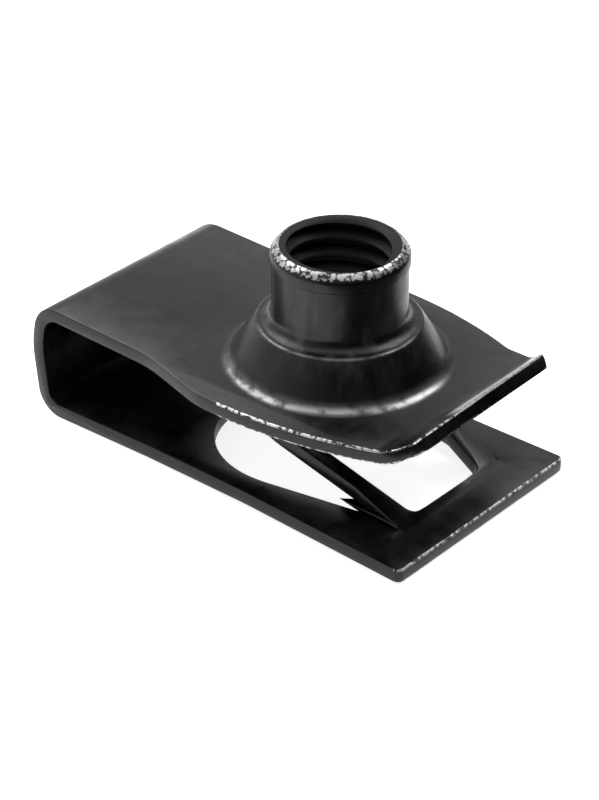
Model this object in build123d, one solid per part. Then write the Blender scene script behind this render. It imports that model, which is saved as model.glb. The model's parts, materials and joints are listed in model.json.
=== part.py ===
"""Spring-steel U clip speed nut, pressed and folded from one strip of sheet.

The strip is folded into a U that slides over the edge of a panel. Its upper leaf is
drawn up into a dome and a barrel that is tapped for an M8 screw, and ends in a
turned-up lead-in lip. Its lower leaf is slightly arched, and a looped tongue is lanced
out of it: the panel pushes the tongue down, and it springs up into the panel's hole.

+X runs from the fold to the mouth and +Z up the barrel. Lengths are in millimetres.
The clip is built standing on z = 0, and is then lowered so that the origin lies on the
screw's axis, where the thread begins.
"""
import os
from math import cos, radians, sin, sqrt, tan

from build123d import *

# Strip
sheet = 1.0                  # thickness of the spring steel
strip_width = 16.7           # width at the fold

# Fold and leaves, seen from the side
mouth_reach = 12.5           # screw axis to the mouth end of the lower leaf
fold_reach = 20.75           # screw axis to the outside of the fold
leaf_gap = 6.01              # clear height between the leaves under the barrel
pinch_angle = 1.4            # slope of the upper leaf beside the fold
pinch_end = -9.0             # where the upper leaf becomes level
fold_lower_radius = 2.0      # outside radius from the lower leaf to the fold's back
fold_upper_radius = 2.3      # outside radius from the fold's back to the upper leaf
fold_belly = 0.65            # how far the fold's back bulges out between its corners
fold_belly_share = 0.6       # where the bulge lies, as a share of the fold's height
fold_belly_radius = 7.0      # bend radius of that bulge
arch_rise = 0.45             # how far the lower leaf is arched up
arch_crest = -1.0            # where the arch is highest
mouth_lift = 0.25            # how far the mouth end stands above the base
arch_radius = 60.0           # bend radius of these slight bends

# Lead-in lip at the mouth end of the upper leaf
lip_crease = 9.9             # screw axis to the crease
lip_reach = 1.5              # crease to the lip's lower edge, along the leaf
lip_angle_near = 18.5        # turn-up at the -Y side
lip_angle_far = 38.0         # turn-up at the +Y side
crease_radius_near = 4.0     # inside radius of the crease at the -Y side
crease_radius_far = 0.8      # inside radius of the crease at the +Y side

# Outline of the upper leaf, seen from above
shoulder_width = 19.84       # widest place, beside the barrel
shoulder_start = -9.7        # where the leaf begins to widen
shoulder_end = -4.2          # where the leaf stops widening
shoulder_blend = 9.0         # rounding where it begins to widen
shoulder_radius = 8.0        # rounding where it stops widening
flank_crest = -2.2           # where the flanks are furthest apart
flank_radius = 31.0          # long curve of the flanks towards the mouth
lip_tail = 3.4               # straight side that ends in the lip's corner at the +Y side
lip_corner_near = 3.2        # corner radius of the lip at the -Y side
lip_corner_far = 0.5         # corner radius of the lip at the +Y side

# Dome and tapped barrel
barrel_height = 8.44         # top of the leaf to the rim of the barrel
barrel_radius = 4.55         # outside of the barrel
thread_radius = 3.38         # crest circle of the M8 x 1.25 thread
collar_swell = 0.1           # how far the barrel's top stands out
collar_height = 1.3          # height of that swelling
rim_radius = 4.2             # outside of the rim's level land
rim_bevel = 0.52             # height of the bevel outside that land
thread_chamfer = 0.27        # chamfer at the thread's upper end
thread_entry = 0.9           # chamfer that leads the screw into the thread
dome_height = 2.93           # top of the leaf to the dome's shoulder
dome_lean = 32.5             # lean of the dome's side from the vertical
dome_foot_radius = 0.9       # outside radius from the leaf to the dome's side
shoulder_ring_radius = 5.57  # ring where the dome's side meets its shoulder
shoulder_ring_rounding = 0.25  # outside rounding of that ring
barrel_foot_radius = 0.85    # outside radius from the shoulder to the barrel

# Lower leaf: outline, and the punched opening
mouth_width = 18.0           # width of the mouth end
flare_start = -10.0          # where the leaf begins to widen towards the mouth
mouth_corner = 0.5           # corner radius of the mouth end
opening_radius = 7.07        # round end of the opening
opening_center = -1.95       # centre of that round end
opening_taper = 12.0         # how each side of the opening closes in to the mouth

# Lower leaf: slits, tongue and the tongue's window
lance_shift = 0.25           # how far opening and tongue lie off the middle, towards +Y
slit_end = 10.0              # screw axis to the tongue's root
slit_corner = 1.0            # radius in which each slit turns in to the root
shear_gap = 0.1              # gap that lancing leaves beside the tongue
root_width = 10.84           # width of the tongue at its root
tongue_angle = 23.0          # slope of the tongue
tongue_bend_radius = 3.0     # bend radius at the tongue's root and top
tongue_rise = 5.3            # lower face of the tongue's level end, above the base
loop_center = -1.0           # centre of the loop at the tongue's end
loop_radius = 6.5            # outside radius of that loop
loop_taper = 10.0            # how each side of the loop closes in to the root
leg_width = 1.23             # width of the loop's band
window_end = 9.2             # screw axis to the mouth edge of the tongue's window
window_corner = 0.8          # corner radius of that edge

# Lengths and heights that follow from these, measured from the screw's axis and the base
lip_end = lip_crease + lip_reach
leaf_under = arch_rise + sheet + leaf_gap
leaf_top = leaf_under + sheet
rim_top = leaf_top + barrel_height
shoulder_height = leaf_top + dome_height
dome_ceiling = shoulder_height - sheet
dome_base_radius = shoulder_ring_radius + dome_height * tan(radians(dome_lean))
thread_start = dome_ceiling + thread_entry
thread_end = rim_top - thread_chamfer


def side_section(path):
    """The strip's section in the XZ plane, given the path of one of its faces."""
    return make_face(offset(path, amount=sheet, side=Side.RIGHT))


def rounded(outline, corner, radius):
    """The outline with one of its corners rounded."""
    return fillet(outline.vertices().sort_by_distance(corner)[0], radius)


def across(section, width):
    """A solid that runs across the strip, with the given section."""
    return extrude(section, amount=width / 2, both=True)


def leaf_base(x):
    """Height of the lower leaf's lower face on its slope down to the mouth."""
    return arch_rise + (mouth_lift - arch_rise) * (x - arch_crest) / (mouth_reach - arch_crest)


def folded_strip():
    """The U fold with both leaves, wide enough for either outline."""
    corner = -(fold_reach - fold_belly)
    fold_top = leaf_top + (pinch_end - corner) * tan(radians(pinch_angle))
    path = Plane.XZ * FilletPolyline(
        (mouth_reach, mouth_lift),
        (arch_crest, arch_rise),
        (corner, 0),
        (-fold_reach, fold_top * fold_belly_share),
        (corner, fold_top),
        (pinch_end, leaf_top),
        (lip_crease, leaf_top),
        radius=[arch_radius, fold_lower_radius, fold_belly_radius, fold_upper_radius, arch_radius],
    )
    return across(side_section(path), shoulder_width + 2)


def lip_section(y, angle, crease_radius):
    """The lip's section at one side, turned up by the given angle."""
    turn = radians(angle)
    start = lip_crease - sheet
    crease = (lip_crease, leaf_top)
    under_crease = (lip_crease + sheet * tan(turn / 2), leaf_under)
    tip_x = lip_end - sheet * sin(turn)
    tip_z = leaf_top + (tip_x - lip_crease) * tan(turn)
    section = Polygon(
        (start, leaf_under),
        under_crease,
        (lip_end, tip_z - sheet * cos(turn)),
        (tip_x, tip_z),
        crease,
        (start, leaf_top),
        align=None,
    )
    section = rounded(section, crease, crease_radius)
    section = rounded(section, under_crease, crease_radius + sheet)
    return Plane.XZ.offset(-y) * section


def lead_in_lip():
    """The turned-up lip, which rises more at one side than at the other."""
    half = shoulder_width / 2
    near = lip_section(-half, lip_angle_near, crease_radius_near)
    far = lip_section(half, lip_angle_far, crease_radius_far)
    return loft([near, far], ruled=True)


def lower_outline():
    """The fold and the lower leaf, seen from above."""
    fold = -(fold_reach + sheet)
    half = strip_width / 2
    mouth_half = mouth_width / 2
    plate = Polygon(
        (fold, -half),
        (flare_start, -half),
        (mouth_reach, -mouth_half),
        (mouth_reach, mouth_half),
        (flare_start, half),
        (fold, half),
        align=None,
    )
    return fillet(plate.vertices().group_by(Axis.X)[-1], mouth_corner)


def flank_y(x):
    """Half width of the upper leaf on the long curve of its flanks."""
    return shoulder_width / 2 - flank_radius + sqrt(flank_radius**2 - (x - flank_crest) ** 2)


def upper_outline():
    """The fold and the upper leaf, seen from above: it widens beside the barrel."""
    fold = -(fold_reach + sheet)
    half = strip_width / 2
    wide = flank_y(shoulder_end)
    crest = shoulder_width / 2
    tail_start = lip_end - lip_tail
    tail_half = flank_y(tail_start)
    near_tip = (lip_end, -flank_y(lip_end))
    edges = [
        Line((fold, half), (fold, -half)),
        Line((fold, -half), (shoulder_start, -half)),
        Line((shoulder_start, -half), (shoulder_end, -wide)),
        ThreePointArc((shoulder_end, -wide), (flank_crest, -crest), near_tip),
        Line(near_tip, (lip_end, tail_half)),
        Line((lip_end, tail_half), (tail_start, tail_half)),
        ThreePointArc((tail_start, tail_half), (flank_crest, crest), (shoulder_end, wide)),
        Line((shoulder_end, wide), (shoulder_start, half)),
        Line((shoulder_start, half), (fold, half)),
    ]
    outline = make_face(Wire(edges))
    for x, radius in ((shoulder_start, shoulder_blend), (shoulder_end, shoulder_radius)):
        outline = fillet(outline.vertices().filter_by(lambda v: abs(v.X - x) < 0.01), radius)
    for side, radius in ((0, lip_corner_near), (-1, lip_corner_far)):
        corners = outline.vertices().group_by(Axis.X)[-1].sort_by(Axis.Y)
        outline = fillet(corners[side], radius)
    return outline


def trimmed_strip():
    """The folded strip with its lip, cut to the outlines of its two leaves."""
    middle = (leaf_under + sheet) / 2
    ceiling = rim_top
    lower = Pos(0, 0, -sheet) * extrude(lower_outline(), amount=middle + sheet)
    upper = Pos(0, 0, middle) * extrude(upper_outline(), amount=ceiling - middle)
    return (folded_strip() + lead_in_lip()) & (lower + upper)


def barrel_section():
    """Half of the section through the dome and the barrel, from the leaf inwards."""
    start = dome_base_radius + dome_foot_radius
    foot = (dome_base_radius, leaf_top)
    ring = (shoulder_ring_radius, shoulder_height)
    neck = (barrel_radius, shoulder_height)
    wall = sheet / cos(radians(dome_lean))
    slope = tan(radians(dome_lean))
    ceiling_edge = (dome_base_radius - wall - (dome_ceiling - leaf_top) * slope, dome_ceiling)
    inner_foot = (dome_base_radius - wall + sheet * slope, leaf_under)
    collar = barrel_radius + collar_swell
    collar_z = rim_top - collar_height
    section = Polygon(
        (start, leaf_under),
        (start, leaf_top),
        foot,
        ring,
        neck,
        (barrel_radius, collar_z),
        (collar, collar_z + collar_swell),
        (collar, rim_top - rim_bevel),
        (rim_radius, rim_top),
        (thread_radius + thread_chamfer, rim_top),
        (thread_radius, thread_end),
        (thread_radius, thread_start),
        (thread_radius + thread_entry, dome_ceiling),
        ceiling_edge,
        inner_foot,
        align=None,
    )
    section = rounded(section, foot, dome_foot_radius)
    section = rounded(section, inner_foot, dome_foot_radius + sheet)
    section = rounded(section, neck, barrel_foot_radius)
    section = rounded(section, ring, shoulder_ring_rounding)
    return Plane.XZ * section


def drawn_barrel():
    """The dome and the barrel, drawn up out of the leaf."""
    return revolve(barrel_section(), Axis.Z)


def loop_face(center, radius, taper, end):
    """A round end with two sides that close in from it towards the mouth."""
    turn = radians(taper)
    side_x = center + radius * sin(turn)
    side_y = radius * cos(turn)
    end_y = side_y - (end - side_x) * tan(turn)
    sides = Polygon((side_x, side_y), (side_x, -side_y), (end, -end_y), (end, end_y), align=None)
    return Pos(center, 0) * Circle(radius) + sides


def root_strip(width, end):
    """The straight strip beside the screw's axis in which the tongue is rooted."""
    return Pos(end / 2, 0) * Rectangle(end, width)


def opening():
    """What is cut out of the lower leaf: the punched opening and the lanced slits."""
    slits = root_strip(root_width + 2 * shear_gap, slit_end)
    slits = fillet(slits.vertices().group_by(Axis.X)[-1], slit_corner)
    cut = loop_face(opening_center, opening_radius, opening_taper, slit_end) + slits
    return Pos(0, lance_shift, -sheet) * extrude(cut, amount=arch_rise + 3 * sheet)


def tongue_ramp():
    """The tongue's bent strip, before its sides and window are cut."""
    start = slit_end + sheet
    root = slit_end - tongue_bend_radius * tan(radians(tongue_angle / 2))
    top = root - (tongue_rise - leaf_base(root)) / tan(radians(tongue_angle))
    path = Plane.XZ * FilletPolyline(
        (start, leaf_base(start)),
        (root, leaf_base(root)),
        (top, tongue_rise),
        (loop_center - loop_radius - sheet, tongue_rise),
        radius=[tongue_bend_radius + sheet, tongue_bend_radius],
    )
    return across(side_section(path), strip_width)


def tongue():
    """The looped tongue: two legs and a round end about the screw's window."""
    loop = loop_face(loop_center, loop_radius, loop_taper, slit_end)
    window = loop_face(loop_center, loop_radius - leg_width, loop_taper, window_end)
    window = fillet(window.vertices().group_by(Axis.X)[-1], window_corner)
    outline = loop + root_strip(root_width, slit_end + sheet) - window
    return tongue_ramp() & (Pos(0, lance_shift) * extrude(outline, amount=rim_top))


def clip():
    """The whole clip, with its origin on the screw's axis where the thread begins."""
    foot = dome_base_radius + dome_foot_radius
    blank = trimmed_strip() - Pos(0, 0, leaf_top) * Cylinder(foot, leaf_gap)
    body = blank + drawn_barrel() - opening() + tongue()
    return Pos(0, 0, -thread_start) * body


part = clip()
part.label = "u_clip"
print(part.volume, part.bounding_box(), len(part.solids()), part.is_valid)
os.makedirs("parts", exist_ok=True)
export_step(part, "parts/u_clip.step")
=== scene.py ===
import json
from math import cos, pi, radians, sin

import bmesh
import bpy
from mathutils import Matrix, Vector

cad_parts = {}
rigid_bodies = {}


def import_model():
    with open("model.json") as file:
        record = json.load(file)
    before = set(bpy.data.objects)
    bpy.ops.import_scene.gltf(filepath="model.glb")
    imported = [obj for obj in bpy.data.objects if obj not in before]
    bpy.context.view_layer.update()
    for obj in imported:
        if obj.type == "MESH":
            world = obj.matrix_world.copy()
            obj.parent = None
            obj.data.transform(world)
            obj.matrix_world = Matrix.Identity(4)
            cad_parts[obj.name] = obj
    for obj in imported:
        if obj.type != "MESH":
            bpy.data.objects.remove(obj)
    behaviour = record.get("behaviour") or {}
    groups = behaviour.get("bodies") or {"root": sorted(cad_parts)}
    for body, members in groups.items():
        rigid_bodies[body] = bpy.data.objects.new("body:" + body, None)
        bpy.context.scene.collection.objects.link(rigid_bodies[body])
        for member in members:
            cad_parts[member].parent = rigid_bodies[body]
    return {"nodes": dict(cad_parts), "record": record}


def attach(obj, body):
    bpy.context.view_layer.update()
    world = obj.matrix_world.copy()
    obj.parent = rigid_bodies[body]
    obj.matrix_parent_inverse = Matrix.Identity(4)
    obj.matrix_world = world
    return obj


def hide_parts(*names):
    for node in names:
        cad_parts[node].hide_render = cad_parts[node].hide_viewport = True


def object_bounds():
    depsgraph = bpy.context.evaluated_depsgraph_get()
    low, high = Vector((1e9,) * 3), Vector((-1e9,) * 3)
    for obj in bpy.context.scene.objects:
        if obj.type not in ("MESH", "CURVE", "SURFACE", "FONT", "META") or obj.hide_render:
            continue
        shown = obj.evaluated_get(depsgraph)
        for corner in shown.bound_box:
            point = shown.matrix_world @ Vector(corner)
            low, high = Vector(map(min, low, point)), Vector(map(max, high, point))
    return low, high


bl_info = {
    "name": "U Clip Speed Nut",
    "version": (1, 0, 0),
    "blender": (4, 5, 0),
    "location": "View3D > Sidebar > Clip",
    "description": "Dresses a spring-steel clip: worn sheared edges, a tapped thread and black oxide",
    "category": "Object",
}

# +X runs from the fold to the mouth and +Z up the barrel. The screw's axis is the Z axis.
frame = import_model()
CAD_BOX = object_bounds()
BOX_LOW, BOX_HIGH = CAD_BOX
NODE = "u_clip"
MOUNTS = {mount["name"]: mount for mount in frame["record"]["mounts"]}
THREAD_START = MOUNTS["screw_thread"]["pos_m"][2]
THREAD_RADIUS = MOUNTS["screw_thread"]["dims"]["r_mm"] / 1000
THREAD_LENGTH = MOUNTS["screw_thread"]["dims"]["length_mm"] / 1000
SHEET = 0.001  # thickness of the spring steel
LEAF_UNDER = MOUNTS["panel_seat"]["pos_m"][2]
LEAF_TOP = LEAF_UNDER + SHEET


# ---------------------------------------------------------------- settings


class ClipEdges(bpy.types.PropertyGroup):
    """Sizes of the worn, sheared edges"""

    merge: bpy.props.FloatProperty(
        name="Merge distance",
        description="Corners closer together than this become one",
        default=0.00005,
        unit="LENGTH",
    )
    flat_angle: bpy.props.FloatProperty(
        name="Flat angle",
        description="Faces that turn less than this against each other become one",
        default=radians(0.6),
        subtype="ANGLE",
    )
    sharp_angle: bpy.props.FloatProperty(
        name="Sharp angle",
        description="Edges that turn more than this are sheared edges",
        default=radians(40),
        subtype="ANGLE",
    )
    smooth_angle: bpy.props.FloatProperty(
        name="Smooth angle",
        description="Edges that turn less than this are shaded smooth",
        default=radians(30),
        subtype="ANGLE",
    )
    rounding: bpy.props.FloatProperty(
        name="Edge rounding",
        description="How far the sheared edges are rounded",
        default=0.00014,
        unit="LENGTH",
    )
    rounding_steps: bpy.props.IntProperty(
        name="Rounding steps",
        description="Faces across each rounded edge",
        default=2,
    )
    low_step: bpy.props.FloatProperty(
        name="Low step",
        description="Steps lower than this keep their sharp edges",
        default=0.0001,
        unit="LENGTH",
    )
    bore_margin: bpy.props.FloatProperty(
        name="Bore margin",
        description="How far past the tapped wall the bore's own edges lie",
        default=0.0001,
        unit="LENGTH",
    )
    barrel_reach: bpy.props.FloatProperty(
        name="Barrel reach",
        description="Radius that holds the barrel's own edges",
        default=0.0052,
        unit="LENGTH",
    )
    worn_rim: bpy.props.FloatProperty(
        name="Worn rim",
        description="Height of the worn band at the barrel's rim",
        default=0.00036,
        unit="LENGTH",
    )
    worn_from: bpy.props.FloatProperty(
        name="Worn from",
        description="X from which the upper leaf's edges are rubbed, towards the mouth",
        default=-0.0025,
        unit="LENGTH",
    )
    mouth_band: bpy.props.FloatProperty(
        name="Mouth band",
        description="How far from the mouth the lower leaf is rubbed",
        default=0.0012,
        unit="LENGTH",
    )
    mouth_wear: bpy.props.FloatProperty(
        name="Mouth wear",
        description="How strongly the lower leaf's mouth is rubbed, against the upper leaf",
        default=0.6,
        subtype="FACTOR",
    )
    upright: bpy.props.FloatProperty(
        name="Upright",
        description="Upward part of the normal on faces that look up",
        default=0.72,
    )


class ClipThread(bpy.types.PropertyGroup):
    """Sizes of the tapped thread"""

    pitch: bpy.props.FloatProperty(
        name="Pitch",
        description="Rise of the thread in one turn",
        default=0.00125,
        unit="LENGTH",
    )
    crest_radius: bpy.props.FloatProperty(
        name="Crest radius",
        description="Radius of the tapped wall at the thread's crests",
        default=THREAD_RADIUS,
        unit="LENGTH",
    )
    depth: bpy.props.FloatProperty(
        name="Depth",
        description="Depth of the groove below the crests",
        default=0.00062,
        unit="LENGTH",
    )
    length: bpy.props.FloatProperty(
        name="Length",
        description="Length of the tapped wall",
        default=THREAD_LENGTH,
        unit="LENGTH",
    )
    tool_mouth: bpy.props.FloatProperty(
        name="Tool mouth",
        description="Half width of the cutting tool inside the bore, as a share of the pitch",
        default=0.6,
    )
    tool_tip: bpy.props.FloatProperty(
        name="Tool tip",
        description="Half width of the cutting tool's tip, as a share of the pitch",
        default=0.08,
    )
    run_out: bpy.props.FloatProperty(
        name="Run-out",
        description="Turns that the tap makes past each end of the wall",
        default=1.5,
    )
    steps: bpy.props.IntProperty(
        name="Steps",
        description="Faces round one turn",
        default=64,
    )


class ClipFinish(bpy.types.PropertyGroup):
    """Colours of the finish, where forming and use have rubbed it, and the painted highlights on the lip
    and on the dome's rings
    """

    oxide: bpy.props.FloatVectorProperty(
        name="Oxide",
        description="Black oxide on the flats",
        default=(0.0015, 0.0015, 0.0016),
        subtype="COLOR",
    )
    oxide_pale: bpy.props.FloatVectorProperty(
        name="Pale oxide",
        description="Thinner oxide in the mottling",
        default=(0.007, 0.007, 0.0073),
        subtype="COLOR",
    )
    streak: bpy.props.FloatVectorProperty(
        name="Streak",
        description="Thin oxide in the marks that run up the drawn barrel",
        default=(0.055, 0.055, 0.055),
        subtype="COLOR",
    )
    # Die-rubbed steel, which also serves as a painted highlight on the camera's side of the dome's rings
    rubbed_highlight_steel: bpy.props.FloatVectorProperty(
        name="Burnished steel",
        description="Dark steel where the die has rubbed",
        default=(0.34, 0.34, 0.34),
        subtype="COLOR",
    )
    # Bare steel for the worn spots, and also the white of the painted highlight along the lip
    bare: bpy.props.FloatVectorProperty(
        name="Bare steel",
        description="Steel at the rubbed edges",
        default=(0.62, 0.62, 0.6),
        subtype="COLOR",
    )
    bore_oxide: bpy.props.FloatVectorProperty(
        name="Bore oxide",
        description="Dull oxide in the tapped bore",
        default=(0.002, 0.002, 0.002),
        subtype="COLOR",
    )
    bore_oxide_pale: bpy.props.FloatVectorProperty(
        name="Pale bore oxide",
        description="Thinner oxide in the tapped bore",
        default=(0.006, 0.006, 0.006),
        subtype="COLOR",
    )
    smoothest: bpy.props.FloatProperty(
        name="Smoothest",
        description="Roughness where the oxide is smoothest",
        default=0.24,
        subtype="FACTOR",
    )
    roughest: bpy.props.FloatProperty(
        name="Roughest",
        description="Roughness where the oxide is roughest",
        default=0.36,
        subtype="FACTOR",
    )
    grain_height: bpy.props.FloatProperty(
        name="Grain height",
        description="Height of the steel's faint waviness",
        default=0.00003,
        unit="LENGTH",
    )
    bore_roughness: bpy.props.FloatProperty(
        name="Bore roughness",
        description="Roughness of the tapped bore",
        default=0.5,
        subtype="FACTOR",
    )
    # The bore's lowered gloss darkens it: painted shade in the recess
    bore_shade_gloss: bpy.props.FloatProperty(
        name="Bore gloss",
        description="Specular level of the tapped bore",
        default=0.3,
        subtype="FACTOR",
    )
    speck_density: bpy.props.FloatProperty(
        name="Speck density",
        description="Cells in one metre of the pattern of bare spots",
        default=3300,
    )
    wear: bpy.props.FloatProperty(
        name="Edge wear",
        description="Size of each bare spot along the worn edges, as a share of its cell",
        default=0.59,
        subtype="FACTOR",
    )
    wear_fade: bpy.props.FloatProperty(
        name="Wear fade",
        description="How softly each bare spot ends, as a share of its cell",
        default=0.15,
        subtype="FACTOR",
    )
    # The rings at the dome's foot and shoulder are die-rubbed steel and also a painted highlight
    foot_radius: bpy.props.FloatProperty(
        name="Foot radius",
        description="Middle of the rubbed ring at the dome's foot",
        default=0.00752,
        unit="LENGTH",
    )
    foot_width: bpy.props.FloatProperty(
        name="Foot width",
        description="Half width of the ring at the dome's foot",
        default=0.00055,
        unit="LENGTH",
    )
    foot_from: bpy.props.FloatProperty(
        name="Foot from",
        description="Z from which the ring at the dome's foot is rubbed",
        default=LEAF_TOP - 0.0001,
        unit="LENGTH",
    )
    neck_radius: bpy.props.FloatProperty(
        name="Neck radius",
        description="Middle of the rubbed ring at the dome's shoulder",
        default=0.0055,
        unit="LENGTH",
    )
    neck_width: bpy.props.FloatProperty(
        name="Neck width",
        description="Half width of the ring at the dome's shoulder",
        default=0.00022,
        unit="LENGTH",
    )
    neck_from: bpy.props.FloatProperty(
        name="Neck from",
        description="Z from which the ring at the dome's shoulder is rubbed",
        default=-0.0003,
        unit="LENGTH",
    )
    neck_rub_and_highlight: bpy.props.FloatProperty(
        name="Neck rub",
        description="How strongly the ring at the dome's shoulder is rubbed, against its foot",
        default=0.5,
        subtype="FACTOR",
    )
    # The rings fade out away from the camera's side, which keeps their painted highlight there
    highlight_fade_from: bpy.props.FloatProperty(
        name="Rubbed from",
        description="Distance from the axis, to the rubbed side, at which the rings begin",
        default=0.0005,
        unit="LENGTH",
    )
    highlight_fade_full: bpy.props.FloatProperty(
        name="Rubbed full",
        description="Distance from the axis, to the rubbed side, at which the rings are at full strength",
        default=0.0035,
        unit="LENGTH",
    )
    streak_squeeze: bpy.props.FloatProperty(
        name="Streak squeeze",
        description="Height scale of the streaks' pattern, which draws them out where it is below 1",
        default=0.3,
    )
    rim_clear: bpy.props.FloatProperty(
        name="Rim clear",
        description="How far below the rim the streaks begin to fade",
        default=0.0012,
        unit="LENGTH",
    )
    # The band along the lip is a painted highlight, white and not metallic
    lip_foot: bpy.props.FloatProperty(
        name="Lip foot",
        description="X where the rubbed band along the lip starts",
        default=0.0101,
        unit="LENGTH",
    )
    lip_foot_fade: bpy.props.FloatProperty(
        name="Lip foot fade",
        description="How softly that band starts along X",
        default=0.0003,
        unit="LENGTH",
    )
    lip_from: bpy.props.FloatProperty(
        name="Lip from",
        description="Y where the rubbed band along the lip starts",
        default=-0.0020,
        unit="LENGTH",
    )
    lip_from_fade: bpy.props.FloatProperty(
        name="Lip from fade",
        description="How softly that band starts along Y",
        default=0.0015,
        unit="LENGTH",
    )


class ClipStage(bpy.types.PropertyGroup):
    """Camera, floor and light"""

    azimuth: bpy.props.FloatProperty(
        name="Azimuth",
        description="Camera's turn from -Y towards +X",
        default=radians(40.06),
        subtype="ANGLE",
    )
    elevation: bpy.props.FloatProperty(
        name="Elevation",
        description="Camera's height as an angle",
        default=radians(31.37),
        subtype="ANGLE",
    )
    roll: bpy.props.FloatProperty(
        name="Roll",
        description="Camera's turn about its own axis",
        default=radians(0.33),
        subtype="ANGLE",
    )
    distance: bpy.props.FloatProperty(
        name="Distance",
        description="Camera to target",
        default=0.1872,
        unit="LENGTH",
    )
    target_height: bpy.props.FloatProperty(
        name="Target height",
        description="Aim on the screw's axis, above the floor",
        default=0.00796,
        unit="LENGTH",
    )
    aside: bpy.props.FloatProperty(
        name="Aside",
        description="Aim moved to the camera's left",
        default=0.002636,
        unit="LENGTH",
    )
    below: bpy.props.FloatProperty(
        name="Below",
        description="Aim moved down in the picture",
        default=0.002602,
        unit="LENGTH",
    )
    lens: bpy.props.FloatProperty(
        name="Lens",
        description="Focal length on a 36 mm sensor",
        default=126.0,
        unit="CAMERA",
    )
    floor_size: bpy.props.FloatProperty(
        name="Floor size",
        description="Side of the square floor",
        default=2.0,
        unit="LENGTH",
    )
    floor_white: bpy.props.FloatProperty(
        name="Floor white",
        description="Brightness of the floor's paper",
        default=0.85,
        subtype="FACTOR",
    )
    # Past the mouth the floor is dark only in the clip's reflections and bounce light: painted shade on the
    # clip's mouth side
    floor_painted_shade: bpy.props.FloatProperty(
        name="Floor dark",
        description="Brightness of the floor's paper past the mouth",
        default=0.06,
        subtype="FACTOR",
    )
    dark_from: bpy.props.FloatProperty(
        name="Dark from",
        description="How far past the mouth the paper begins to darken",
        default=0.003,
        unit="LENGTH",
    )
    dark_full: bpy.props.FloatProperty(
        name="Dark full",
        description="How far past the mouth the paper is fully dark",
        default=0.012,
        unit="LENGTH",
    )
    floor_glow: bpy.props.FloatProperty(
        name="Floor glow",
        description="White that the floor adds to what the camera sees",
        default=0.85,
    )
    floor_shine: bpy.props.FloatProperty(
        name="Floor shine",
        description="White that the floor adds to its mirror image in the clip",
        default=0.5,
    )
    lamp_distance: bpy.props.FloatProperty(
        name="Lamp distance",
        description="Clip to each softbox",
        default=0.3,
        unit="LENGTH",
    )
    lamp_width: bpy.props.FloatProperty(
        name="Lamp width",
        description="Width of each softbox",
        default=0.26,
        unit="LENGTH",
    )
    lamp_height: bpy.props.FloatProperty(
        name="Lamp height",
        description="Height of each softbox",
        default=0.12,
        unit="LENGTH",
    )
    lamp_radiance: bpy.props.FloatProperty(
        name="Lamp radiance",
        description="Brightness of each softbox's face",
        default=3.2,
    )
    wall_bright: bpy.props.FloatProperty(
        name="Bright wall",
        description="Light from the room on the fold's side",
        default=0.7,
    )
    wall_dark: bpy.props.FloatProperty(
        name="Dark wall",
        description="Light from the room on the mouth's side",
        default=0.01,
    )


class ClipSettings(bpy.types.PropertyGroup):
    """All the clip's settings"""

    edges: bpy.props.PointerProperty(type=ClipEdges, name="Edges", description="Sheared edges")
    thread: bpy.props.PointerProperty(type=ClipThread, name="Thread", description="Tapped thread")
    finish: bpy.props.PointerProperty(type=ClipFinish, name="Finish", description="Oxide and wear")
    stage: bpy.props.PointerProperty(type=ClipStage, name="Stage", description="Camera and light")


# ---------------------------------------------------------------- helpers


def settings():
    """The scene's own settings for the clip."""
    return bpy.context.scene.clip_settings


def clip_body():
    """The clip's visible body."""
    return bpy.data.objects[bpy.context.scene["clip_body"]]


def activate(piece):
    """Deselects everything and makes one piece active."""
    bpy.ops.object.select_all(action="DESELECT")
    piece.select_set(True)
    bpy.context.view_layer.objects.active = piece


def edit(piece):
    """Opens a piece in edit mode with nothing selected, and gives its bmesh."""
    activate(piece)
    bpy.ops.object.mode_set(mode="EDIT")
    bpy.ops.mesh.select_mode(type="EDGE")
    bpy.ops.mesh.select_all(action="DESELECT")
    return bmesh.from_edit_mesh(piece.data)


def leave_edit(piece):
    """Closes edit mode."""
    bmesh.update_edit_mesh(piece.data)
    bpy.ops.object.mode_set(mode="OBJECT")


def in_bore(point, reach):
    """Whether a point lies on the tapped wall or within a reach of it."""
    thread = settings().thread
    height = point.z - THREAD_START
    return point.xy.length < thread.crest_radius + reach and -reach < height < thread.length + reach


# ---------------------------------------------------------------- body


def copy_of_node():
    """A merged copy of the clip's solid, with its flat faces whole again."""
    edges = settings().edges
    piece = frame["nodes"][NODE].copy()
    piece.data = piece.data.copy()
    piece.name = "clip"
    piece.parent = None
    for key in list(piece.keys()):
        del piece[key]
    bpy.context.collection.objects.link(piece)
    edit(piece)
    bpy.ops.mesh.select_all(action="SELECT")
    bpy.ops.mesh.remove_doubles(threshold=edges.merge)
    bpy.ops.mesh.customdata_custom_splitnormals_clear()
    bpy.ops.mesh.dissolve_limited(angle_limit=edges.flat_angle)
    leave_edit(piece)
    return piece


def is_low_step(face):
    """Whether a face is an upright step too low to be rounded."""
    edges = settings().edges
    heights = [vert.co.z for vert in face.verts]
    return abs(face.normal.z) < edges.upright and max(heights) - min(heights) < edges.low_step


def is_sheared(edge):
    """Whether an edge is sharp, outside the bore, and not part of a low step."""
    edges = settings().edges
    if len(edge.link_faces) != 2 or edge.calc_face_angle() < edges.sharp_angle:
        return False
    middle = (edge.verts[0].co + edge.verts[1].co) / 2
    return not in_bore(middle, edges.bore_margin) and not any(is_low_step(face) for face in edge.link_faces)


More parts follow.
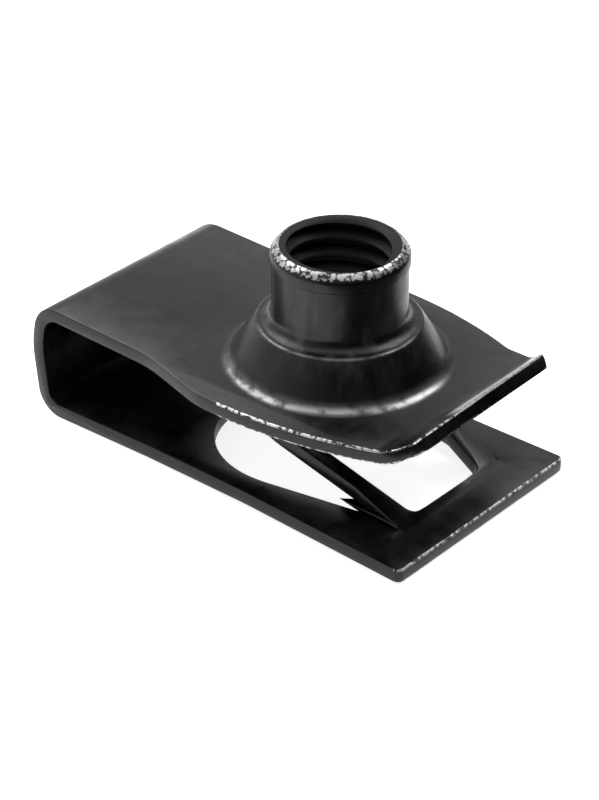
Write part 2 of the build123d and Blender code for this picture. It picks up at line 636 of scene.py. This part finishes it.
def round_edges(piece):
    """Rounds the sheared edges, and gives the faces that this makes."""
    edges = settings().edges
    mesh = edit(piece)
    for edge in mesh.edges:
        edge.select = is_sheared(edge)
    bpy.ops.mesh.bevel(
        offset=edges.rounding,
        segments=edges.rounding_steps,
        affect="EDGES",
        clamp_overlap=False,
    )
    mesh = bmesh.from_edit_mesh(piece.data)
    rounded = {face.index for face in mesh.faces if face.select}
    leave_edit(piece)
    return rounded


def edge_wear(point, rounded):
    """How far a face is rubbed bare: the rim, the upper leaf's edges by the mouth, and the mouth."""
    edges = settings().edges
    if point.xy.length < edges.barrel_reach:
        at_rim = point.z > BOX_HIGH[2] - edges.worn_rim and not in_bore(point, edges.bore_margin)
        return 1.0 if at_rim else 0.0
    if not rounded:
        return 0.0
    if point.z > LEAF_UNDER:
        return 1.0 if point.x > edges.worn_from else 0.0
    return edges.mouth_wear if point.x > BOX_HIGH[0] - edges.mouth_band else 0.0


def mark_wear(piece, rounded):
    """Stores where the edges wear, and which faces are the upper leaf's top."""
    wear = piece.data.attributes.new("edge_wear", "FLOAT", "FACE")
    lip = piece.data.attributes.new("lip_top", "FLOAT", "FACE")
    for face in piece.data.polygons:
        looks_up = face.normal.z > settings().edges.upright and face.center.z > (LEAF_UNDER + LEAF_TOP) / 2
        wear.data[face.index].value = edge_wear(face.center, face.index in rounded)
        lip.data[face.index].value = 1.0 if looks_up else 0.0


class UCLIP_OT_body(bpy.types.Operator):
    """Makes the clip's visible body from its solid, with rounded sheared edges"""

    bl_idname = "uclip.body"
    bl_label = "Clip body"

    def execute(self, context):
        piece = copy_of_node()
        mark_wear(piece, round_edges(piece))
        context.scene["clip_body"] = piece.name
        return {"FINISHED"}


# ---------------------------------------------------------------- thread


def groove_cutter():
    """A right-handed helical groove that runs past both ends of the tapped wall."""
    thread = settings().thread
    start = THREAD_START - thread.pitch * thread.run_out
    inner = thread.crest_radius - thread.depth / 2
    outer = thread.crest_radius + thread.depth
    half_mouth = thread.pitch * thread.tool_mouth
    half_tip = thread.pitch * thread.tool_tip
    bpy.ops.mesh.primitive_plane_add(size=thread.pitch, location=(0, 0, 0))
    cutter = bpy.context.active_object
    cutter.name = "groove_cutter"
    for vert in cutter.data.vertices:
        half = half_tip if vert.co.x > 0 else half_mouth
        radius = outer if vert.co.x > 0 else inner
        vert.co = Vector((radius, 0, start + (half if vert.co.y > 0 else -half)))
    edit(cutter)
    bpy.ops.mesh.select_all(action="SELECT")
    bpy.ops.mesh.delete(type="ONLY_FACE")
    leave_edit(cutter)
    sweep = cutter.modifiers.new("turns", "SCREW")
    sweep.screw_offset = thread.pitch
    sweep.iterations = round(thread.length / thread.pitch + 2 * thread.run_out)
    sweep.steps = thread.steps
    sweep.render_steps = thread.steps
    bpy.ops.object.modifier_apply(modifier=sweep.name)
    edit(cutter)
    bpy.ops.mesh.select_all(action="SELECT")
    bpy.ops.mesh.remove_doubles(threshold=thread.pitch / 1000)
    bpy.ops.mesh.fill_holes(sides=4)
    bpy.ops.mesh.select_all(action="SELECT")
    bpy.ops.mesh.normals_make_consistent(inside=False)
    leave_edit(cutter)
    return cutter


class UCLIP_OT_thread(bpy.types.Operator):
    """Cuts the thread into the barrel"""

    bl_idname = "uclip.thread"
    bl_label = "Tapped thread"

    def execute(self, context):
        piece = clip_body()
        cutter = groove_cutter()
        faces = len(piece.data.polygons)
        activate(piece)
        cut = piece.modifiers.new("thread", "BOOLEAN")
        cut.operation = "DIFFERENCE"
        cut.solver = "EXACT"
        cut.object = cutter
        bpy.ops.object.modifier_apply(modifier=cut.name)
        bpy.data.objects.remove(cutter)
        if len(piece.data.polygons) <= faces:
            raise RuntimeError("the thread's groove cut nothing")
        return {"FINISHED"}


# ---------------------------------------------------------------- finish

# Scale and detail of each cloudy pattern
MOTTLING = (420, 6)
GRAIN = (450, 5)
BORE_MOTTLING = (500, 4)
GLOSS_CLOUDS = (700, 4)
STREAKS = (850, 4)
RING_BREAKS = (900, 3)
LIP_BREAKS = (2200, 2)

# The side, towards the camera, on which the dome's rings show die-rubbed steel and a painted highlight,
# seen from the axis
HIGHLIGHT_SIDE = (0.5, -0.87, 0)

# Sockets of the Mix node: its factor, its two colours and the mixed colour
MIX_FACTOR, MIX_FIRST, MIX_SECOND, MIX_RESULT = 0, 6, 7, 2


def add_node(tree, kind, **choices):
    """Adds a shader node with some of its own choices set."""
    node = tree.nodes.new(kind)
    for name, value in choices.items():
        setattr(node, name, value)
    return node


def new_material(name):
    """A new material, with its node tree, its shader and the piece's own coordinates."""
    material = bpy.data.materials.new(name)
    material.use_nodes = True
    tree = material.node_tree
    place = add_node(tree, "ShaderNodeTexCoord").outputs["Object"]
    return material, tree, tree.nodes["Principled BSDF"], place


def noise(tree, place, cloud):
    """Cloudy noise of one scale and detail."""
    scale, detail = cloud
    clouds = add_node(tree, "ShaderNodeTexNoise")
    clouds.inputs["Scale"].default_value = scale
    clouds.inputs["Detail"].default_value = detail
    tree.links.new(place, clouds.inputs["Vector"])
    return clouds.outputs["Fac"]


def ramp(tree, value, low, high, start=0.0, end=1.0):
    """Maps a value between two limits to a smooth slope."""
    level = add_node(tree, "ShaderNodeMapRange", interpolation_type="SMOOTHSTEP")
    level.inputs["From Min"].default_value = low
    level.inputs["From Max"].default_value = high
    level.inputs["To Min"].default_value = start
    level.inputs["To Max"].default_value = end
    tree.links.new(value, level.inputs["Value"])
    return level.outputs["Result"]


def combine(tree, operation, first, second):
    """Joins two values by arithmetic."""
    node = add_node(tree, "ShaderNodeMath", operation=operation)
    tree.links.new(first, node.inputs[0])
    tree.links.new(second, node.inputs[1])
    return node.outputs["Value"]


def product(tree, first, *others):
    """Multiplies values."""
    for other in others:
        first = combine(tree, "MULTIPLY", first, other)
    return first


def tint(tree, factor, first, second):
    """Mixes two colours by a factor; each colour is a value or a socket."""
    mix = add_node(tree, "ShaderNodeMix", data_type="RGBA")
    tree.links.new(factor, mix.inputs[MIX_FACTOR])
    for index, color in ((MIX_FIRST, first), (MIX_SECOND, second)):
        if isinstance(color, bpy.types.NodeSocket):
            tree.links.new(color, mix.inputs[index])
        else:
            mix.inputs[index].default_value = (*color, 1)
    return mix.outputs[MIX_RESULT]


def axes(tree, place):
    """The three coordinates of a point, by name."""
    parts = add_node(tree, "ShaderNodeSeparateXYZ")
    tree.links.new(place, parts.inputs[0])
    return parts.outputs


def mark(tree, name):
    """A mark that the body carries on its faces."""
    return add_node(tree, "ShaderNodeAttribute", attribute_name=name).outputs["Fac"]


def ring(tree, place, radius, width, lowest):
    """A soft band round the screw's axis, above a height."""
    parts = axes(tree, place)
    flat = add_node(tree, "ShaderNodeCombineXYZ")
    tree.links.new(parts["X"], flat.inputs["X"])
    tree.links.new(parts["Y"], flat.inputs["Y"])
    length = add_node(tree, "ShaderNodeVectorMath", operation="LENGTH")
    tree.links.new(flat.outputs[0], length.inputs[0])
    inner = ramp(tree, length.outputs["Value"], low=radius - width, high=radius)
    outer = ramp(tree, length.outputs["Value"], low=radius, high=radius + width, start=1.0, end=0.0)
    above = ramp(tree, parts["Z"], low=lowest, high=lowest + SHEET / 50)
    return product(tree, inner, outer, above)


def lip_painted_highlight(tree, place):
    """A painted highlight: a soft white band along the top of the lead-in lip."""
    finish = settings().finish
    parts = axes(tree, place)
    outward = ramp(tree, parts["X"], low=finish.lip_foot, high=finish.lip_foot + finish.lip_foot_fade)
    along = ramp(tree, parts["Y"], low=finish.lip_from, high=finish.lip_from + finish.lip_from_fade)
    unbroken = ramp(tree, noise(tree, place, LIP_BREAKS), low=0.22, high=0.34)
    return product(tree, outward, along, mark(tree, "lip_top"), unbroken)


def highlight_side_fade(tree, place):
    """Fades the rings out on the far side of the axis, so that their painted highlight stays on the
    camera's side.
    """
    finish = settings().finish
    side = add_node(tree, "ShaderNodeVectorMath", operation="DOT_PRODUCT")
    side.inputs[1].default_value = HIGHLIGHT_SIDE
    tree.links.new(place, side.inputs[0])
    return ramp(tree, side.outputs["Value"], low=finish.highlight_fade_from, high=finish.highlight_fade_full)


def rub_and_highlight_mask(tree, place):
    """Where the die has rubbed the oxide at the dome's foot and its shoulder, with a painted highlight kept
    to the camera's side.
    """
    finish = settings().finish
    foot = ring(tree, place, finish.foot_radius, finish.foot_width, finish.foot_from)
    neck = ring(tree, place, finish.neck_radius, finish.neck_width, finish.neck_from)
    faint_neck = ramp(tree, neck, low=0.0, high=1.0, end=finish.neck_rub_and_highlight)
    unbroken = ramp(tree, noise(tree, place, RING_BREAKS), low=0.25, high=0.6)
    return product(tree, combine(tree, "MAXIMUM", foot, faint_neck), highlight_side_fade(tree, place), unbroken)


def specks(tree, place):
    """Bare spots along the worn edges."""
    finish = settings().finish
    cells = add_node(tree, "ShaderNodeTexVoronoi")
    cells.inputs["Scale"].default_value = finish.speck_density
    tree.links.new(place, cells.inputs["Vector"])
    inside = finish.wear - finish.wear_fade
    outside = finish.wear + finish.wear_fade
    spots = ramp(tree, cells.outputs["Distance"], low=inside, high=outside, start=1.0, end=0.0)
    return product(tree, spots, mark(tree, "edge_wear"))


def streaks(tree, place):
    """Pale marks that run up the drawn barrel and its dome."""
    finish = settings().finish
    squeezed = add_node(tree, "ShaderNodeVectorMath", operation="MULTIPLY")
    squeezed.inputs[1].default_value = (1, 1, finish.streak_squeeze)
    tree.links.new(place, squeezed.inputs[0])
    marks = ramp(tree, noise(tree, squeezed.outputs[0], STREAKS), low=0.48, high=0.7)
    near_axis = ring(tree, place, 0.0, finish.foot_radius, LEAF_TOP)
    drawn = ramp(tree, near_axis, low=0.0, high=0.3)
    fade_from = BOX_HIGH[2] - finish.rim_clear
    fade_to = BOX_HIGH[2] - finish.rim_clear / 2
    below_rim = ramp(tree, axes(tree, place)["Z"], low=fade_from, high=fade_to, start=1.0, end=0.0)
    return product(tree, marks, drawn, below_rim)


def oxide_material():
    """Black oxide on steel: mottled flats, die-rubbed rings with a painted highlight on one side, edges
    rubbed bare in spots, and a painted highlight along the lip.
    """
    finish = settings().finish
    material, tree, shader, place = new_material("black_oxide")
    mottling = ramp(tree, noise(tree, place, MOTTLING), low=0.35, high=0.7)
    tone = tint(tree, mottling, finish.oxide, finish.oxide_pale)
    tone = tint(tree, streaks(tree, place), tone, finish.streak)
    # The rings: die-rubbed steel, and a painted highlight on the camera's side
    rubbed = rub_and_highlight_mask(tree, place)
    spots = specks(tree, place)
    # Worn edges show bare steel in spots; the lip's band is a painted highlight, white but not metallic
    bare = combine(tree, "MAXIMUM", spots, lip_painted_highlight(tree, place))
    color = tint(tree, bare, tint(tree, rubbed, tone, finish.rubbed_highlight_steel), finish.bare)
    gloss = noise(tree, place, GLOSS_CLOUDS)
    roughness = ramp(tree, gloss, low=0.3, high=0.7, start=finish.smoothest, end=finish.roughest)
    tree.links.new(color, shader.inputs["Base Color"])
    tree.links.new(combine(tree, "MAXIMUM", rubbed, spots), shader.inputs["Metallic"])
    tree.links.new(roughness, shader.inputs["Roughness"])
    grain = add_node(tree, "ShaderNodeBump")
    grain.inputs["Strength"].default_value = 0.5
    grain.inputs["Distance"].default_value = finish.grain_height
    tree.links.new(noise(tree, place, GRAIN), grain.inputs["Height"])
    tree.links.new(grain.outputs["Normal"], shader.inputs["Normal"])
    return material


def bore_material():
    """Dull oxide in the tapped bore: rough, with its gloss lowered as painted shade in the recess."""
    finish = settings().finish
    material, tree, shader, place = new_material("bore_oxide")
    tone = tint(tree, noise(tree, place, BORE_MOTTLING), finish.bore_oxide, finish.bore_oxide_pale)
    tree.links.new(tone, shader.inputs["Base Color"])
    shader.inputs["Roughness"].default_value = finish.bore_roughness
    shader.inputs["Specular IOR Level"].default_value = finish.bore_shade_gloss
    return material


class UCLIP_OT_finish(bpy.types.Operator):
    """Gives the clip its black oxide finish"""

    bl_idname = "uclip.finish"
    bl_label = "Black oxide finish"

    def execute(self, context):
        piece = clip_body()
        piece.data.materials.clear()
        piece.data.materials.append(oxide_material())
        piece.data.materials.append(bore_material())
        for face in piece.data.polygons:
            face.material_index = 1 if in_bore(face.center, settings().thread.depth) else 0
        activate(piece)
        bpy.ops.object.shade_smooth_by_angle(angle=settings().edges.smooth_angle)
        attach(piece, "root")
        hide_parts(NODE)
        return {"FINISHED"}


# ---------------------------------------------------------------- stage

# Directions of the two softboxes from the clip
LAMPS = {"left key": (-0.66, -0.05, 0.75), "right key": (0.15, 0.62, 0.77)}


def add_camera():
    """The camera, aimed past the clip's middle."""
    stage = settings().stage
    azimuth, elevation = stage.azimuth, stage.elevation
    back = Vector((sin(azimuth) * cos(elevation), -cos(azimuth) * cos(elevation), sin(elevation)))
    across = Vector((0, 0, 1)).cross(back).normalized()
    up = back.cross(across)
    right = across * cos(stage.roll) + up * sin(stage.roll)
    up = back.cross(right)
    target = Vector((0, 0, BOX_LOW[2] + stage.target_height)) - stage.aside * right - stage.below * up
    place = target + back * stage.distance
    bpy.ops.object.camera_add(location=place)
    camera = bpy.context.active_object
    camera.matrix_world = Matrix.Translation(place) @ Matrix((right, up, back)).transposed().to_4x4()
    camera.data.sensor_fit = "VERTICAL"
    camera.data.sensor_height = 36
    camera.data.lens = stage.lens
    camera.data.clip_start = 0.01
    bpy.context.scene.camera = camera


def add_floor():
    """A white floor under the clip, which keeps the clip's shadow; in the clip's reflections it adds a
    painted reflection near the clip and a painted shade past the mouth, while the camera sees it white.
    """
    stage = settings().stage
    bpy.ops.mesh.primitive_plane_add(size=stage.floor_size, location=(0, 0, BOX_LOW[2]))
    floor = bpy.context.active_object
    floor.name = "floor"
    material, tree, shader, place = new_material("floor_white")

    def past_mouth(start, end):
        """A value that changes where the floor darkens."""
        near = BOX_HIGH[0] + stage.dark_from
        far = BOX_HIGH[0] + stage.dark_full
        return ramp(tree, axes(tree, place)["X"], low=near, high=far, start=start, end=end)

    path = add_node(tree, "ShaderNodeLightPath")
    # The camera sees the floor white; the clip mirrors it brighter near the clip and dark past the mouth:
    # painted reflection and painted shade
    seen = product(tree, path.outputs["Is Camera Ray"], past_mouth(stage.floor_glow, 1.0))
    mirrored = product(tree, path.outputs["Is Glossy Ray"], past_mouth(stage.floor_shine, 0.0))
    tree.links.new(past_mouth(stage.floor_white, stage.floor_painted_shade), shader.inputs["Base Color"])
    tree.links.new(combine(tree, "ADD", seen, mirrored), shader.inputs["Emission Strength"])
    shader.inputs["Emission Color"].default_value = (1, 1, 1, 1)
    shader.inputs["Roughness"].default_value = 0.9
    floor.data.materials.append(material)


def add_softbox(name, direction):
    """A lamp that faces the clip from one direction."""
    stage = settings().stage
    place = Vector(direction).normalized() * stage.lamp_distance
    bpy.ops.object.light_add(type="AREA", location=place)
    lamp = bpy.context.active_object
    lamp.name = name
    lamp.data.shape = "RECTANGLE"
    lamp.data.size = stage.lamp_width
    lamp.data.size_y = stage.lamp_height
    lamp.data.energy = stage.lamp_radiance * pi * stage.lamp_width * stage.lamp_height
    lamp.rotation_euler = place.to_track_quat("Z", "Y").to_euler()


def studio_world():
    """A white room: pale on the fold's side and overhead, dark on the mouth's side."""
    stage = settings().stage
    world = bpy.data.worlds.new("studio")
    world.use_nodes = True
    tree = world.node_tree
    room = tree.nodes["Background"]
    parts = axes(tree, add_node(tree, "ShaderNodeTexCoord").outputs["Generated"])
    wall = ramp(tree, parts["X"], low=-0.85, high=0.7, start=stage.wall_bright, end=stage.wall_dark)
    ceiling = ramp(tree, parts["Z"], low=0.6, high=0.95)
    tree.links.new(combine(tree, "MAXIMUM", wall, ceiling), room.inputs["Strength"])
    backdrop = add_node(tree, "ShaderNodeBackground")
    backdrop.inputs["Strength"].default_value = 1
    for light in (room, backdrop):
        light.inputs["Color"].default_value = (1, 1, 1, 1)
    path = add_node(tree, "ShaderNodeLightPath")
    seen = add_node(tree, "ShaderNodeMixShader")
    tree.links.new(path.outputs["Is Camera Ray"], seen.inputs[0])
    tree.links.new(room.outputs[0], seen.inputs[1])
    tree.links.new(backdrop.outputs[0], seen.inputs[2])
    tree.links.new(seen.outputs[0], tree.nodes["World Output"].inputs["Surface"])
    return world


class UCLIP_OT_stage(bpy.types.Operator):
    """Sets the floor, the lamps, the world and the camera"""

    bl_idname = "uclip.stage"
    bl_label = "Stage"

    def execute(self, context):
        add_floor()
        for name, direction in LAMPS.items():
            add_softbox(name, direction)
        context.scene.world = studio_world()
        context.scene.view_settings.view_transform = "Standard"
        add_camera()
        return {"FINISHED"}


# ---------------------------------------------------------------- add-on

OPERATORS = (UCLIP_OT_body, UCLIP_OT_thread, UCLIP_OT_finish, UCLIP_OT_stage)


class UCLIP_PT_panel(bpy.types.Panel):
    """Lists the clip's operators"""

    bl_idname = "UCLIP_PT_panel"
    bl_label = "U clip"
    bl_space_type = "VIEW_3D"
    bl_region_type = "UI"
    bl_category = "Clip"

    def draw(self, context):
        for operator in OPERATORS:
            self.layout.operator(operator.bl_idname)


CLASSES = (ClipEdges, ClipThread, ClipFinish, ClipStage, ClipSettings, *OPERATORS, UCLIP_PT_panel)


def register():
    for cls in CLASSES:
        bpy.utils.register_class(cls)
    bpy.types.Scene.clip_settings = bpy.props.PointerProperty(type=ClipSettings)


def unregister():
    del bpy.types.Scene.clip_settings
    for cls in reversed(CLASSES):
        bpy.utils.unregister_class(cls)


def main():
    register()
    bpy.ops.uclip.body()
    bpy.ops.uclip.thread()
    bpy.ops.uclip.finish()
    bpy.ops.uclip.stage()


if __name__ == "__main__":
    main()
